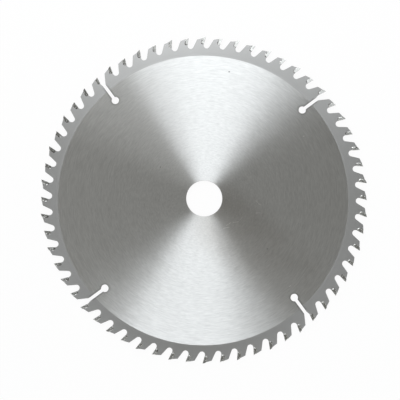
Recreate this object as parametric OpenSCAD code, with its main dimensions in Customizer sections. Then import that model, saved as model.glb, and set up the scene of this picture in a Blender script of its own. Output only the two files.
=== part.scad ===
// Circular saw blade with brazed carbide teeth: a flat steel plate with a plain bore, gullets and
// four expansion slots, and a ground carbide tip seated in the notch of every tooth.
// The axis is Z, the plate's mid plane is Z = 0, and seen from +Z the teeth cut clockwise.
// The first tooth's cutting edge is on the +X axis. All sizes are in millimetres and degrees.

/* [Plate] */
// Diameter over the cutting corners of the tips
blade_d = 230; // [190:1:270]
// Diameter of the arbor bore
bore_d = 25.4; // [16:0.1:40]
// Thickness of the steel plate
plate_t = 1.8; // [1.4:0.1:2.1]

/* [Teeth] */
// Number of teeth, even because left and right bevels alternate
teeth = 60; // [40:2:72]
// Hook angle: lean of the rake face ahead of the radius
hook = 15; // [0:1:22]
// Relief angle of the top faces, behind the cutting edge
relief = 15; // [8:1:20]
// Drop of the steel shoulder below the back of the tip
shoulder_drop = 0.4; // [0.1:0.1:0.8]
// Opening of a gullet at the rim, along the tip circle
gullet_mouth = 5.7; // [4.5:0.1:7]
// Straight wall of a gullet between the tip and the round bottom
gullet_wall = 1.1; // [0.5:0.1:3]
// Radius of the round bottom of a gullet
gullet_r = 2.15; // [1.5:0.05:2.8]

/* [Carbide tips] */
// Kerf: width of a tip at its cutting corners
kerf = 2.8; // [2.5:0.1:3.6]
// Thickness of a tip, square to the rake face
tip_t = 1.8; // [1.4:0.1:2.4]
// Length of a tip along the rake face
tip_l = 5.2; // [4:0.1:7]
// Alternate top bevel, high on one side and then on the other
bevel = 14; // [0:1:20]
// Side clearance from the cutting corner inwards
clear_radial = 1.5; // [0:0.1:2]
// Side clearance from the cutting corner backwards
clear_back = 2.5; // [0:0.1:3]
// Step of the rake face ahead of the gullet wall
tip_proud = 0.2; // [0:0.05:0.5]
// Chamfer of the heel, where the seat's corner is
heel = 0.5; // [0.2:0.1:1]
// Film of braze between a tip and its seat
braze_t = 0.1; // [0.05:0.05:0.2]

/* [Expansion slots] */
// Number of slots, each cut from the bottom of a gullet
slots = 4; // [2:1:6]
// Width of a slot
slot_w = 2.3; // [1.5:0.1:3]
// Length of a slot, from the bottom of the gullet to the centre of its round end
slot_l = 13.1; // [6:0.1:20]
// Lean of a slot away from the radius
slot_lean = 5; // [0:1:12]
// Diameter of the round end
slot_end_d = 5.3; // [3.5:0.1:7]
// Step from the gullet wall to the slot
slot_step = 0.3; // [0.1:0.1:1]

/* [Hidden] */
$fn = 96;
pitch = 360 / teeth;
tip_r = blade_d / 2;
pairs = teeth / 2;
pair_digits = 2;

// Reach of a cut past the faces and the rim that it opens
overshoot = 1;
// How far the tangent back of a tooth dips into the round bottom, so that the two cuts cross
dip = 0.0005;

// Directions in the plane of the plate, for the tooth whose cutting edge is on +X:
// inwards along the rake face, backwards from it, and backwards along the top faces
inward = [-cos(hook), sin(hook)];
backward = [sin(hook), cos(hook)];
along_top = [-sin(relief), cos(relief)];

// Corners of a tip: its cutting edge, the back of its top and the front of its foot
edge = [tip_r, 0];
top_back = edge + along_top * tip_t / cos(hook + relief);
foot = edge + inward * tip_l;

// Seat: the tip's outline moved out by the film of braze, with the chamfer of the heel kept parallel
seat_t = tip_t + braze_t;
seat_l = tip_l + braze_t;
seat_heel = heel + braze_t * (2 - sqrt(2));

// The shoulder starts on the seat's back wall and runs on, beside the tip's top, to the back corner
shoulder = top_back + backward * braze_t + inward * shoulder_drop;
mouth_angle = gullet_mouth / tip_r * 180 / PI;
back_corner = crossing(shoulder, along_top, pitch - mouth_angle);
back_corner_ahead = turned(back_corner, -pitch);

// Gullet: the wall below the tip ends on the round bottom, and the back of the tooth ahead is tangent to it
wall_top = edge + inward * seat_l + backward * tip_proud;
wall_foot = wall_top - [gullet_wall, 0];
gullet_centre = wall_foot - [0, gullet_r];
gullet_bottom = norm(gullet_centre) - gullet_r;
back_foot = gullet_centre + tangent_from(back_corner_ahead - gullet_centre, gullet_r - dip);

// Slot: it leaves the bottom of its gullet beside the wall and leans back under the tooth
slot_mouth = [gullet_bottom, wall_foot[1] - slot_step - slot_w / 2];
slot_ahead = slot_mouth - slot_w / 2 * [sin(slot_lean), cos(slot_lean)];
slot_behind = slot_mouth + slot_w / 2 * [sin(slot_lean), cos(slot_lean)];
slot_end = slot_mouth + slot_l * [-cos(slot_lean), sin(slot_lean)];

// The two ends of the heel's chamfer, for a tip or seat of a thickness and length
function heel_ends(t, l, chamfer) = [
    edge + backward * t + inward * (l - chamfer),
    edge + backward * (t - chamfer) + inward * l
];

// Number as text with leading zeros
function padded(n, digits) = len(str(n)) < digits ? padded(str("0", n), digits) : str(n);

// Point turned about the blade's axis
function turned(p, angle) = [
    p[0] * cos(angle) - p[1] * sin(angle),
    p[0] * sin(angle) + p[1] * cos(angle)
];

// Where a line through p along d crosses the radius at an angle
function crossing(p, d, angle) =
    let (across = [-sin(angle), cos(angle)])
    p - d * (p * across) / (d * across);

// Point of a circle about the origin where the tangent from p touches it, on the leading side
function tangent_from(p, r) =
    let (angle = atan2(p[1], p[0]) - acos(r / norm(p)))
    r * [cos(angle), sin(angle)];

// Point past b on the line from a
function past(a, b, distance) = b + (b - a) * distance / norm(b - a);

// Point moved straight out from the axis, past the rim
function beyond_rim(p) = p * (tip_r + 2 * overshoot) / norm(p);

pair_names = [for (i = [1:pairs]) str("tip_pair_", padded(i, pair_digits))];

// What is cut away over and ahead of a tooth: its seat, the space above its shoulder, and the gullet
// down to its bottom. Lines that end on another cut run on past it. The points are taken from the
// centre of the round bottom, so that they meet it closely.
module gap_outline(foot_of_back, bottom) {
    past_corner = past(shoulder, back_corner, overshoot);
    past_back = past(foot_of_back, back_corner_ahead, overshoot);
    heel_corners = heel_ends(seat_t, seat_l, seat_heel);
    seat = [wall_foot, wall_top, heel_corners[1], heel_corners[0], shoulder, past_corner];
    rim = [beyond_rim(past_corner), beyond_rim(past_back), past_back];
    translate(gullet_centre)
        polygon([for (p = concat(seat, rim, bottom)) p - gullet_centre]);
}

// Gullet with a round bottom
module plain_gap() {
    gap_outline(back_foot, [back_foot, gullet_centre]);
    translate(gullet_centre) circle(gullet_r);
}

// Gullet that runs out into an expansion slot with a round end
module slotted_gap() {
    into_slot = slot_w / 4;
    ahead = past(back_corner_ahead, slot_ahead, into_slot);
    behind = past(wall_foot, slot_behind, into_slot);
    gap_outline(slot_ahead, [ahead, behind]);
    translate(slot_end) {
        circle(d = slot_end_d);
        rotate(-slot_lean) translate([0, -slot_w / 2]) square([slot_l + overshoot, slot_w]);
    }
}

// Steel plate: a round blank with the bore, gullets, seats and slots cut out of it
module plate() {
    slotted = [for (i = [0:slots - 1]) round(i * teeth / slots)];
    color("silver")
        linear_extrude(plate_t, center = true)
            difference() {
                circle(tip_r);
                circle(d = bore_d);
                for (i = [0:teeth - 1])
                    rotate(i * pitch)
                        if (len(search(i, slotted)) > 0) slotted_gap();
                        else plain_gap();
            }
}

// Everything above the plane Z = 0, for grinding a face
module grinding_wheel() {
    size = 4 * (tip_l + kerf);
    translate([-size / 2, -size / 2, 0]) cube(size);
}

// Carbide tip of the tooth on +X: side is 1 where its top is high on +Z, and -1 where it is high on -Z
module tip(side) {
    blank_top = [edge - inward * overshoot, top_back - inward * overshoot];
    difference() {
        linear_extrude(kerf + 2 * overshoot, center = true)
            polygon(concat(blank_top, heel_ends(tip_t, tip_l, heel), [foot]));
        // Top face, with relief behind the edge and the bevel across it
        translate([tip_r, 0, side * kerf / 2])
            rotate([0, side * bevel, relief]) rotate([0, 90, 0]) grinding_wheel();
        // Side faces, with clearance inwards and backwards from the cutting corners
        for (face = [0, 1])
            mirror([0, 0, face])
                translate([tip_r, 0, kerf / 2])
                    rotate([-clear_back, -clear_radial, 0]) grinding_wheel();
    }
}

// Two neighbouring tips, one repeat of the alternate bevel
module tip_pair(i) {
    color("dimgray")
        for (j = [0, 1])
            rotate((2 * i + j) * pitch) tip(1 - 2 * j);
}

plate();
for (i = [0:pairs - 1])
    tip_pair(i);
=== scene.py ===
"""Looks of the saw blade round its CAD frame: materials, beads of braze, floor, light and camera."""

import math
import random

import bmesh
import bpy
from mathutils import Matrix, Vector


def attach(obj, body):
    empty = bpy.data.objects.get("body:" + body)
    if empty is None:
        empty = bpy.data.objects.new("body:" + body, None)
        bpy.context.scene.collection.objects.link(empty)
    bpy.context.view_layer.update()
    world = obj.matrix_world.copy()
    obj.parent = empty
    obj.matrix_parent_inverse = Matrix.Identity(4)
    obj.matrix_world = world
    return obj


MM = 0.001

# Sizes of the blade, as in the part's source
TIP_R = 115 * MM
PLATE_T = 1.8 * MM
KERF = 2.8 * MM
TEETH = 60
HOOK = math.radians(15)
TIP_T = 1.8 * MM
TIP_L = 5.2 * MM
HEEL = 0.5 * MM
BRAZE_T = 0.1 * MM
SLOTS = 4
SLOT_MOUTH = Vector((106.7, 0.1, 0)) * MM
SLOT_END = Vector((93.6, 1.3, 0)) * MM

# The photograph: angle from the blade's +X axis to the picture's right, scale and camera
IMAGE = 400
TURN = math.radians(41.42)
PX_PER_M = 163.5 / TIP_R
BLADE_AT = (204.26, 198.48)
DISTANCE = 0.70
LEAN_X = 0.0139
LEAN_Y = 0.0691
SENSOR = 36

RIGHT = Vector((math.cos(TURN), -math.sin(TURN), 0))
UP = Vector((math.sin(TURN), math.cos(TURN), 0))
AXIS = Vector((0, 0, 1))

# The ground face ends short of the gullets, on a circle that is a little off the axis
FACE_R = 101.95 * MM
FACE_AT = -0.65 * MM * RIGHT - 0.45 * MM * UP
FACE_BLUR = 0.12 * MM

# Finish of the plate
DISC_COLOUR = (0.63, 0.63, 0.62, 1)
DISC_ROUGH = 0.33
SMUDGE_COLOUR = (0.505, 0.495, 0.478, 1)
RIM_COLOUR = (0.455, 0.452, 0.445, 1)
RIM_ROUGH = 0.294
RIM_SPREAD = 0.58
CUT_COLOURS = (0.15, 0.145, 0.14, 1), (0.30, 0.29, 0.28, 1)
BORE_COLOURS = (0.40, 0.40, 0.39, 1), (0.52, 0.52, 0.51, 1)
WALL_BELOW = 0.5
# Colour darkened along a narrow line at every edge
EDGE_DARK_R = 0.35 * MM
EDGE_DARK_TONE = 0.72

# Darker band along the slots: width of the dark line round a slot and its round end, and where it fades
SLOT_TINT = 2.7 * MM
SLOT_END_TINT = 4.5 * MM
TINT_FADE = 104.5 * MM, 106.5 * MM
TINT_TONE = -0.5

# Marks on the ground face: from and to, in millimetres right and up of the axis, and width
SCRATCHES = (
    ((69.7, 43.9), (70.6, 44.3), 0.26),
    ((36.2, -1.6), (37.5, -2.7), 0.22),
    ((38.0, -3.5), (39.9, -4.7), 0.24),
    ((36.3, -10.3), (39.0, -10.1), 0.22),
    ((13.6, -21.0), (17.7, -20.1), 0.24),
    ((15.6, -19.0), (18.5, -17.1), 0.22),
    ((20.1, -16.9), (23.9, -16.4), 0.21),
    ((25.5, -14.7), (26.7, -12.9), 0.21),
    ((59.6, -61.7), (60.5, -61.1), 0.24),
)
SMUDGES = (
    ((13.0, -15.0), (62.0, -58.0), 32.0),
)
PITS = (
    ((17.4, 90.0), (17.9, 90.0), 0.50),
    ((-31.0, 22.0), (-30.6, 22.2), 0.30),
    ((44.0, -35.5), (44.3, -35.4), 0.30),
)
# Scratches are real marks, drawn lighter in colour as a painted glint where they catch the light; pits are
# darker
SCRATCH_GLINT_TONE = 0.7
PIT_TONE = -0.8
LINE_CORE = 0.3

# Finish of the tips and of the braze, with dark flux in patches and painted shade that darkens the braze more
# towards one side of the blade
CARBIDE_COLOUR = (0.57, 0.57, 0.55, 1)
BRAZE_COLOURS = (0.60, 0.595, 0.58, 1), (0.82, 0.815, 0.79, 1)
FLUX_AND_SHADE_COLOUR = (0.07, 0.067, 0.062, 1)
# Painted shade: the way across the blade along which the braze is darkened more
PAINTED_SHADE_SIDE = (0.82 * UP - 0.57 * RIGHT) / TIP_R

# Beads of braze, in millimetres: distance down the tip's back and width, widths round the heel, and distance
# from the front along the foot and width
BACK_BEAD = (1.45, 0.10), (1.9, 0.28), (2.4, 0.34), (3.0, 0.36), (3.6, 0.38), (4.2, 0.42)
HEEL_BEAD = 0.48, 0.56, 0.54
FOOT_BEAD = (1.0, 0.50), (0.72, 0.42), (0.48, 0.28), (0.34, 0.10)

# How the beads differ, their section as shares of width and height, and how they sit on the plate
BEAD_SEED = 7
BEAD_BY_TOOTH = 0.8, 1.2
BEAD_BY_PLACE = 0.85, 1.15
BEAD_SLOPE = 0.55
BEAD_HIGHEST = 0.25 * MM
BEAD_SECTION = (0.16, 0.62), (0.38, 0.30), (0.68, 0.09)
BEAD_DEPTH = 0.15 * MM
BEAD_OFF_TIP = 0.02 * MM
BEAD_TOE = 0.01 * MM

# Floor, and how much of it shows as plain white
FLOOR_R = 8.0
FLOOR_COLOURS = (0.88, 0.88, 0.88, 1), (0.90, 0.90, 0.90, 1)
FLOOR_WHITE = 0.94

# The room: level by height above the horizon, fall to the right and the top, and the pale horizon all round
ROOM_POLE = (AXIS - 0.199 * RIGHT + 0.040 * UP).normalized()
ROOM_LEVELS = (0.10, 0.90), (0.22, 0.45), (0.36, 0.161), (0.68, 0.447), (0.90, 0.403), (0.99, 0.167)
ROOM_TO_RIGHT = -1.685
ROOM_TO_TOP = -0.12
ROOM_DARKEST = 0.2
HORIZON_LEVEL = 0.875
HORIZON_FALL = -1.75
HORIZON_MOST = 0.7
ROOM_TINTS = (1, 1, 0.985), (1, 1, 0.925)

SOFTBOX_COLOUR = (0.96, 1.0, 1.045)
SIDE_AT = -0.053 * RIGHT + 0.226 * UP + 0.120 * AXIS
SIDE_UP = SIDE_AT.cross(AXIS.cross(SIDE_AT)).normalized()
SIDE_SIZE = 0.35

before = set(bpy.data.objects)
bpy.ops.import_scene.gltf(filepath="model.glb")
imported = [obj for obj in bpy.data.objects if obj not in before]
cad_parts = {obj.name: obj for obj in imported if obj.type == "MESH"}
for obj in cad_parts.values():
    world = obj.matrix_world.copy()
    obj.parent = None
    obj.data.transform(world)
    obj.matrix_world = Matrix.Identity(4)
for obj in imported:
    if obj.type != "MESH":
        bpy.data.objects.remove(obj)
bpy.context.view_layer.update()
scene = bpy.context.scene


class Nodes:
    """Adds shader nodes to a node tree and wires them, one short call each."""

    def __init__(self, tree):
        self.tree = tree

    def add(self, kind, **settings):
        node = self.tree.nodes.new(kind)
        for name, value in settings.items():
            setattr(node, name, value)
        return node

    def put(self, socket, value):
        if isinstance(value, bpy.types.NodeSocket):
            self.tree.links.new(value, socket)
        else:
            socket.default_value = value

    def fill(self, node, *values):
        """Puts the values into the node's first sockets."""
        for socket, value in zip(node.inputs, values):
            self.put(socket, value)
        return node

    def math(self, operation, *values):
        return self.fill(self.add("ShaderNodeMath", operation=operation), *values).outputs[0]

    def vector(self, operation, *values):
        node = self.fill(self.add("ShaderNodeVectorMath", operation=operation), *values)
        return node.outputs["Value" if operation in ("LENGTH", "DOT_PRODUCT") else "Vector"]

    def scale(self, vector, factor):
        node = self.fill(self.add("ShaderNodeVectorMath", operation="SCALE"), vector)
        self.put(node.inputs["Scale"], factor)
        return node.outputs["Vector"]

    def combine(self, x, y, z):
        return self.fill(self.add("ShaderNodeCombineXYZ"), x, y, z).outputs[0]

    def grey(self, value):
        return self.combine(value, value, value)

    def clamp(self, value, least, most):
        return self.math("MINIMUM", self.math("MAXIMUM", value, least), most)

    def total(self, base, *terms):
        """base plus each value times its weight."""
        for value, weight in terms:
            base = self.math("MULTIPLY_ADD", value, weight, base)
        return base

    def shade(self, tone, mask, share):
        """tone, changed by a share of itself where mask is 1."""
        return self.math("MULTIPLY", tone, self.total(1.0, (mask, share)))

    def smooth(self, value, low, high, to_low=0.0, to_high=1.0):
        node = self.add("ShaderNodeMapRange", interpolation_type="SMOOTHSTEP")
        return self.fill(node, value, low, high, to_low, to_high).outputs[0]

    def noise(self, vector, scale=1.0, detail=2.0, roughness=0.5):
        node = self.add("ShaderNodeTexNoise")
        self.put(node.inputs["Vector"], vector)
        node.inputs["Scale"].default_value = scale
        node.inputs["Detail"].default_value = detail
        node.inputs["Roughness"].default_value = roughness
        return node.outputs["Fac"]

    def mix(self, factor, a, b):
        """Number mix."""
        node = self.add("ShaderNodeMix", data_type="FLOAT")
        self.put(node.inputs[0], factor)
        self.put(node.inputs[2], a)
        self.put(node.inputs[3], b)
        return node.outputs[0]

    def mix_vector(self, factor, a, b):
        node = self.add("ShaderNodeMix", data_type="VECTOR")
        self.put(node.inputs[0], factor)
        self.put(node.inputs[4], a)
        self.put(node.inputs[5], b)
        return node.outputs[1]

    def mix_color(self, factor, a, b, blend="MIX"):
        node = self.add("ShaderNodeMix", data_type="RGBA", blend_type=blend)
        self.put(node.inputs[0], factor)
        self.put(node.inputs[6], a)
        self.put(node.inputs[7], b)
        return node.outputs[2]

    def toned(self, colour, tone):
        return self.mix_color(1.0, colour, self.grey(tone), "MULTIPLY")

    def mix_shader(self, factor, a, b):
        """Mixes two shaders and sends the result to the material's surface."""
        mixed = self.fill(self.add("ShaderNodeMixShader"), factor, a, b).outputs[0]
        self.put(self.tree.nodes["Material Output"].inputs["Surface"], mixed)

    def bump(self, height, strength, distance):
        node = self.add("ShaderNodeBump")
        node.inputs["Strength"].default_value = strength
        node.inputs["Distance"].default_value = distance
        self.put(node.inputs["Height"], height)
        return node.outputs[0]


def new_material(name):
    material = bpy.data.materials.new(name)
    material.use_nodes = True
    tree = material.node_tree
    return material, Nodes(tree), tree.nodes["Principled BSDF"]


def object_place(n):
    return n.add("ShaderNodeTexCoord").outputs["Object"]


def polar_parts(n):
    """Place on the blade, the same in the blade's plane, radius and unit radial vector."""
    place = object_place(n)
    flat = n.vector("MULTIPLY", place, (1, 1, 0))
    radius = n.vector("LENGTH", flat)
    radial = n.vector("NORMALIZE", flat)
    return place, flat, radius, radial


def streaks(n, radius, radial, per_metre, breaks):
    """Coordinates in which noise runs in thin arcs round the axis, more or less broken."""
    across = n.combine(0.0, 0.0, n.math("MULTIPLY", radius, per_metre))
    return n.vector("ADD", n.scale(radial, breaks), across)


def on_blade(marks):
    """Marks of the photograph as lines for line_mask."""
    lines = []
    for start, end, width in marks:
        start, end = ((RIGHT * x + UP * y) * MM for x, y in (start, end))
        lines.append((start, end, width * MM))
    return lines


def slot_lines():
    """The slots and their round ends as lines for line_mask."""
    lines = []
    for slot in range(SLOTS):
        turn = Matrix.Rotation(slot * 2 * math.pi / SLOTS, 3, "Z")
        mouth, end = turn @ SLOT_MOUTH, turn @ SLOT_END
        lines.append((mouth, end, SLOT_TINT))
        beside_end = end.lerp(mouth, 0.01)
        lines.append((beside_end, end, SLOT_END_TINT))
    return lines


def line_mask(n, flat, lines):
    """1 along the core of each line of the blade's plane, falling to 0 at its width."""
    total = None
    for start, end, width in lines:
        run = end - start
        from_start = n.vector("SUBTRACT", flat, tuple(start))
        share = n.clamp(n.vector("DOT_PRODUCT", from_start, tuple(run / run.length_squared)), 0.0, 1.0)
        distance = n.vector("LENGTH", n.vector("SUBTRACT", from_start, n.scale(tuple(run), share)))
        mask = n.smooth(distance, low=width, high=LINE_CORE * width)
        total = mask if total is None else n.math("MAXIMUM", total, mask)
    return total


def plate_material():
    """Steel ground in circles round the bore, with a matt rim, dark cut walls and a lighter bore."""
    material, n, disc = new_material("plate_steel")
    rim = n.add("ShaderNodeBsdfPrincipled")
    place, flat, radius, radial = polar_parts(n)
    around = n.vector("CROSS_PRODUCT", tuple(AXIS), radial)

    # Grinding lines of four sizes, fine grain and clouds
    dash = n.noise(streaks(n, radius, radial, per_metre=1300, breaks=15.0), detail=2.0, roughness=0.65)
    fine = n.noise(streaks(n, radius, radial, per_metre=1500, breaks=6.0), detail=4.0, roughness=0.7)
    broad = n.noise(streaks(n, radius, radial, per_metre=300, breaks=2.5), detail=3.0, roughness=0.6)
    hair = n.noise(streaks(n, radius, radial, per_metre=6000, breaks=9.0), detail=2.0, roughness=0.7)
    grain = n.noise(place, scale=2600, detail=2.0, roughness=0.6)
    cloud = n.noise(place, scale=60, detail=3.0, roughness=0.55)

    # Walls of the outline, the slots and the bore, a darker line along their edges and a darker band round
    # the slots
    normal = n.add("ShaderNodeNewGeometry").outputs["True Normal"]
    upright = n.math("ABSOLUTE", n.vector("DOT_PRODUCT", normal, tuple(AXIS)))
    wall = n.math("LESS_THAN", upright, WALL_BELOW)
    rounded = n.add("ShaderNodeBevel", samples=6)
    rounded.inputs["Radius"].default_value = EDGE_DARK_R
    edge = n.smooth(n.vector("DOT_PRODUCT", rounded.outputs[0], normal), low=0.995, high=0.90)
    edge_and_slot_darkening = n.smooth(edge, low=0.0, high=1.0, to_low=1.0, to_high=EDGE_DARK_TONE)
    below_teeth = n.smooth(radius, low=TINT_FADE[1], high=TINT_FADE[0])
    # Colour darkened in a band round each slot, fading before the teeth
    darker_slot_band = n.math("MULTIPLY", line_mask(n, flat, slot_lines()), below_teeth)
    edge_and_slot_darkening = n.shade(edge_and_slot_darkening, darker_slot_band, TINT_TONE)

    from_face = n.vector("LENGTH", n.vector("SUBTRACT", flat, tuple(FACE_AT)))
    on_rim = n.smooth(from_face, low=FACE_R - FACE_BLUR, high=FACE_R + FACE_BLUR)

    # Disc: the grinding runs round the axis, so light spreads across it, along the radius
    disc.inputs["Metallic"].default_value = 1.0
    disc.inputs["Anisotropic"].default_value = 1.0
    wander = n.total(-0.13, (broad, 0.10), (fine, 0.16))
    spread = n.vector("NORMALIZE", n.vector("ADD", radial, n.scale(around, wander)))
    n.put(disc.inputs["Tangent"], spread)
    tone = n.total(0.61, (broad, 0.06), (fine, 0.06), (hair, 0.24), (dash, 0.44))
    chips = n.noise(place, scale=1100, detail=3.0, roughness=0.6)
    broken = n.smooth(chips, low=0.30, high=0.60, to_low=0.15)
    # Painted glint: the real scratches are made lighter in colour
    scratch_glint = n.math("MULTIPLY", line_mask(n, flat, on_blade(SCRATCHES)), broken)
    tone = n.shade(tone, scratch_glint, SCRATCH_GLINT_TONE)
    tone = n.shade(tone, line_mask(n, flat, on_blade(PITS)), PIT_TONE)
    tone = n.math("MULTIPLY", tone, edge_and_slot_darkening)
    cloudy = n.smooth(cloud, low=0.2, high=0.6, to_low=0.7)
    smudge = n.math("MULTIPLY", line_mask(n, flat, on_blade(SMUDGES)), cloudy)
    thinner = n.smooth(radius, low=30 * MM, high=100 * MM, to_low=1.0, to_high=0.5)
    smudge = n.math("MULTIPLY", smudge, thinner)
    n.put(disc.inputs["Base Color"], n.toned(n.mix_color(smudge, DISC_COLOUR, SMUDGE_COLOUR), tone))
    n.put(disc.inputs["Roughness"], n.total(DISC_ROUGH - 0.07, (dash, 0.08), (broad, 0.06)))
    n.put(disc.inputs["Normal"], n.bump(dash, strength=0.4, distance=0.02 * MM))

    # Rim: matt, brushed lightly along the radius, with a painted highlight that lightens it where the ground
    # face ends
    rim.inputs["Metallic"].default_value = 1.0
    rim.inputs["Anisotropic"].default_value = RIM_SPREAD
    n.put(rim.inputs["Tangent"], around)
    tone = n.total(0.93, (cloud, 0.08), (grain, 0.06))
    # Painted highlight on the step at the end of the ground face
    face_edge_highlight = n.smooth(from_face, low=FACE_R, high=FACE_R + 2 * MM, to_low=1.05)
    tone = n.math("MULTIPLY", tone, face_edge_highlight)
    tone = n.math("MULTIPLY", tone, edge_and_slot_darkening)
    striae = n.noise(n.vector("MULTIPLY", place, (2600, 2600, 160)), detail=2.0, roughness=0.6)
    outside_bore = n.smooth(radius, low=20 * MM, high=30 * MM)
    walls = n.mix_color(outside_bore, n.mix_color(striae, *BORE_COLOURS), n.mix_color(striae, *CUT_COLOURS))
    n.put(rim.inputs["Base Color"], n.mix_color(wall, n.toned(RIM_COLOUR, tone), walls))
    n.put(rim.inputs["Roughness"], n.total(RIM_ROUGH - 0.02, (grain, 0.04)))
    n.put(rim.inputs["Normal"], n.bump(grain, strength=0.02, distance=0.02 * MM))

    n.mix_shader(n.math("MAXIMUM", on_rim, wall), disc.outputs[0], rim.outputs[0])
    return material


def carbide_material():
    """Ground tungsten carbide: dull grey with fine grinding lines, unevenly polished."""
    material, n, bsdf = new_material("carbide")
    place, _, radius, radial = polar_parts(n)
    lines = n.noise(streaks(n, radius, radial, per_metre=9000, breaks=40.0), detail=2.0, roughness=0.6)
    cloud = n.noise(place, scale=260, detail=2.0, roughness=0.5)
    tone = n.total(0.75, (cloud, 0.30), (lines, 0.20))
    dull = n.smooth(n.noise(place, scale=900, detail=2.0, roughness=0.5), low=0.46, high=0.64)
    bsdf.inputs["Metallic"].default_value = 1.0
    n.put(bsdf.inputs["Base Color"], n.toned(CARBIDE_COLOUR, tone))
    n.put(bsdf.inputs["Roughness"], n.total(0.122, (lines, 0.06), (dull, 0.15)))
    n.put(bsdf.inputs["Normal"], n.bump(lines, strength=0.2, distance=0.01 * MM))
    return material


def braze_material():
    """Silver braze with an uneven skin, darkened by flux in places and, more towards one side, by painted
    shade.
    """
    material, n, bsdf = new_material("braze")
    place = object_place(n)
    cloud = n.noise(place, scale=1400, detail=3.0, roughness=0.6)

    # Dark flux in patches, with painted shade: the braze is darkened more on the teeth at the top left as the
    # camera sees them than on those at the lower right
    patches = n.math("ADD", n.noise(place, scale=650, detail=2.0, roughness=0.5), 0.02)
    to_shaded_side = n.vector("DOT_PRODUCT", place, tuple(PAINTED_SHADE_SIDE))
    flux_and_shade = n.smooth(n.total(patches, (to_shaded_side, -0.10)), low=0.53, high=0.47)
    colour = n.mix_color(flux_and_shade, n.mix_color(cloud, *BRAZE_COLOURS), FLUX_AND_SHADE_COLOUR)
    bsdf.inputs["Metallic"].default_value = 1.0
    n.put(bsdf.inputs["Base Color"], colour)
    n.put(bsdf.inputs["Roughness"], n.total(0.14, (cloud, 0.24)))
    n.put(bsdf.inputs["Normal"], n.bump(cloud, strength=0.25, distance=0.03 * MM))
    return material


def floor_material():
    """White studio floor that shows plain white and still takes the blade's shadow."""
    material, n, bsdf = new_material("floor_white")
    n.tree.nodes.remove(bsdf)
    speck = n.noise(object_place(n), scale=30, detail=2.0, roughness=0.5)
    diffuse = n.add("ShaderNodeBsdfDiffuse")
    n.put(diffuse.inputs["Color"], n.mix_color(speck, *FLOOR_COLOURS))
    glow = n.add("ShaderNodeEmission")
    glow.inputs["Color"].default_value = (1, 1, 1, 1)
    glow.inputs["Strength"].default_value = 1.0
    path = n.add("ShaderNodeLightPath")
    seen = n.math("MAXIMUM", path.outputs["Is Camera Ray"], path.outputs["Is Glossy Ray"])
    seen = n.math("MAXIMUM", seen, path.outputs["Is Transmission Ray"])
    n.mix_shader(n.math("MULTIPLY", seen, FLOOR_WHITE), diffuse.outputs[0], glow.outputs[0])
    return material


def mesh_object(name, bm, material):
    mesh = bpy.data.meshes.new(name)
    bm.to_mesh(mesh)
    bm.free()
    obj = bpy.data.objects.new(name, mesh)
    scene.collection.objects.link(obj)
    mesh.materials.append(material)
    return obj


def bead_run(inward, backward):
    """Down the tip's back, round its heel and along its foot: distances back and in, way out, width in mm."""
    corner = (backward + inward).normalized()
    run = []
    for down, width in BACK_BEAD:
        run.append((TIP_T, down * MM, backward, width))
    run.append((TIP_T, TIP_L - HEEL, (backward * 2 + corner).normalized(), HEEL_BEAD[0]))
    run.append((TIP_T - HEEL / 2, TIP_L - HEEL / 2, corner, HEEL_BEAD[1]))
    run.append((TIP_T - HEEL, TIP_L, (inward * 2 + corner).normalized(), HEEL_BEAD[2]))
    for back, width in FOOT_BEAD:
        run.append((back * MM, TIP_L, inward, width))
    return run


def bead_section(foot, out, top, wide):
    """Corners of one cross section of a bead, which stands on the plate at foot and leans on the tip."""
    high = min(BEAD_SLOPE * wide, BEAD_HIGHEST)
    return (
        foot - top * BEAD_DEPTH,
        foot + top * high,
        *(foot + out * wide * across + top * high * up for across, up in BEAD_SECTION),
        foot + out * (wide + BRAZE_T) - top * BEAD_TOE,
        foot + out * BRAZE_T * 0.5 - top * BEAD_DEPTH,
    )


def braze_beads(material):
    """Fillets of braze along the seats, between the plate's faces and the proud sides of the tips."""
    rng = random.Random(BEAD_SEED)
    bm = bmesh.new()
    inward = Vector((-math.cos(HOOK), math.sin(HOOK), 0))
    backward = Vector((math.sin(HOOK), math.cos(HOOK), 0))
    edge = Vector((TIP_R, 0, 0))
    run = bead_run(inward, backward)

    for tooth in range(TEETH):
        turn = Matrix.Rotation(tooth * 2 * math.pi / TEETH, 4, "Z")
        for side in (1, -1):
            top = Vector((0, 0, side))
            fat = rng.uniform(*BEAD_BY_TOOTH)
            rings = []
            for back, down, out, width in run:
                wide = width * fat * rng.uniform(*BEAD_BY_PLACE) * MM
                foot = edge + backward * back + inward * down + top * PLATE_T / 2 + out * BEAD_OFF_TIP
                rings.append([bm.verts.new(turn @ c) for c in bead_section(foot, out, top, wide)])
            for a, b in zip(rings, rings[1:]):
                for i in range(len(a)):
                    j = (i + 1) % len(a)
                    bm.faces.new((a[i], a[j], b[j], b[i]))
            bm.faces.new(rings[0])
            bm.faces.new(list(reversed(rings[-1])))
    bmesh.ops.recalc_face_normals(bm, faces=bm.faces)
    obj = mesh_object("braze_beads", bm, material)
    obj.data.shade_smooth()
    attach(obj, "root")


def add_floor(material):
    bm = bmesh.new()
    bmesh.ops.create_circle(bm, cap_ends=True, segments=96, radius=FLOOR_R)
    obj = mesh_object("floor", bm, material)
    obj.location.z = -KERF / 2


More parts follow.
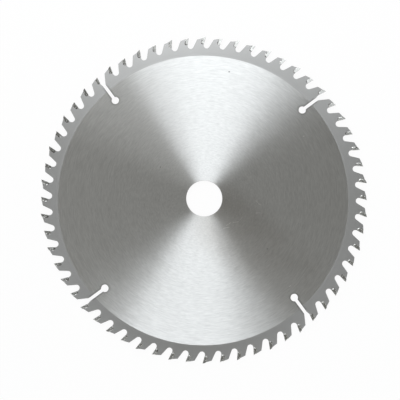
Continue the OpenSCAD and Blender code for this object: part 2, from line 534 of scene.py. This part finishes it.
def add_camera():
    """Camera at the photograph's angle, with the blade where the photograph has it."""
    data = bpy.data.cameras.new("camera")
    data.sensor_width = SENSOR
    data.sensor_fit = "HORIZONTAL"
    data.lens = PX_PER_M * DISTANCE / IMAGE * SENSOR
    data.shift_x = -(BLADE_AT[0] - IMAGE / 2) / IMAGE
    data.shift_y = -(IMAGE / 2 - BLADE_AT[1]) / IMAGE
    data.clip_start = 0.01
    data.clip_end = 50
    camera = bpy.data.objects.new("camera", data)
    away = -LEAN_X * RIGHT - LEAN_Y * UP + math.sqrt(1 - LEAN_X ** 2 - LEAN_Y ** 2) * AXIS
    side = UP.cross(away).normalized()
    top = away.cross(side).normalized()
    turn = Matrix((side, top, away)).transposed().to_4x4()
    camera.matrix_world = Matrix.Translation(away * DISTANCE) @ turn
    scene.collection.objects.link(camera)
    scene.camera = camera


def add_sheet(name, high, low, width, radiance, colour):
    """Soft lamp: a lit sheet between its high and its low edge, facing the blade."""
    data = bpy.data.lights.new(name, "AREA")
    data.shape = "RECTANGLE"
    data.size, data.size_y = width, (high - low).length
    data.energy = radiance * math.pi * data.size * data.size_y
    data.color = colour
    lamp = bpy.data.objects.new(name, data)
    middle = (high + low) / 2
    top = (high - low).normalized()
    side = AXIS.cross(top).normalized()
    back = side.cross(top)
    if back.dot(middle) < 0:
        side, back = -side, -back
    turn = Matrix((side, top, back)).transposed().to_4x4()
    lamp.matrix_world = Matrix.Translation(middle) @ turn
    lamp.visible_camera = False
    scene.collection.objects.link(lamp)


def add_world():
    """A dim room: pale near the horizon, dark above it, and lighter again overhead and to the left."""
    world = bpy.data.worlds.new("studio")
    scene.world = world
    world.use_nodes = True
    n = Nodes(world.node_tree)
    background = world.node_tree.nodes["Background"]
    way = n.add("ShaderNodeTexCoord").outputs["Generated"]
    rise = n.vector("DOT_PRODUCT", way, tuple(ROOM_POLE))
    to_right = n.vector("DOT_PRODUCT", way, tuple(RIGHT))
    to_top = n.vector("DOT_PRODUCT", way, tuple(UP))

    ramp = n.add("ShaderNodeValToRGB")
    n.put(ramp.inputs[0], rise)
    stops = ramp.color_ramp.elements
    stops[0].position, stops[1].position = ROOM_LEVELS[0][0], ROOM_LEVELS[-1][0]
    for position, _ in ROOM_LEVELS[1:-1]:
        stops.new(position)
    for stop, (_, level) in zip(stops, ROOM_LEVELS):
        stop.color = (level, level, level, 1)

    slope = n.total(1.0, (to_top, ROOM_TO_TOP), (to_right, ROOM_TO_RIGHT))
    above_horizon = n.smooth(rise, low=0.15, high=0.45)
    uneven = n.mix(above_horizon, 1.0, n.math("MAXIMUM", slope, ROOM_DARKEST))
    level = n.scale(ramp.outputs[0], uneven)
    horizon = n.grey(n.clamp(n.total(HORIZON_LEVEL, (rise, HORIZON_FALL)), 0.0, HORIZON_MOST))
    tint = n.mix_vector(n.total(0.5, (to_right, 0.5)), *ROOM_TINTS)
    n.put(background.inputs["Color"], n.vector("MULTIPLY", n.vector("MAXIMUM", level, horizon), tint))


plate_steel = plate_material()
carbide = carbide_material()
for name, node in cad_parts.items():
    node.data.materials.clear()
    node.data.materials.append(plate_steel if name == "plate" else carbide)
braze_beads(braze_material())

add_floor(floor_material())
add_camera()
add_world()
add_sheet(
    "softbox_top",
    high=0.377 * RIGHT + 0.497 * UP + 1.349 * AXIS,
    low=-0.049 * RIGHT + 1.116 * UP + 0.045 * AXIS,
    width=1.012,
    radiance=1.46,
    colour=SOFTBOX_COLOUR,
)
add_sheet(
    "softbox_low",
    high=-0.017 * RIGHT - 0.868 * UP + 4.968 * AXIS,
    low=-0.353 * RIGHT - 2.315 * UP + 0.051 * AXIS,
    width=1.722,
    radiance=1.58,
    colour=SOFTBOX_COLOUR,
)
add_sheet(
    "side_glow",
    high=SIDE_AT + SIDE_UP * SIDE_SIZE / 2,
    low=SIDE_AT - SIDE_UP * SIDE_SIZE / 2,
    width=SIDE_SIZE,
    radiance=0.445,
    colour=(0.97, 0.99, 1.0),
)

scene.view_settings.view_transform = "Standard"
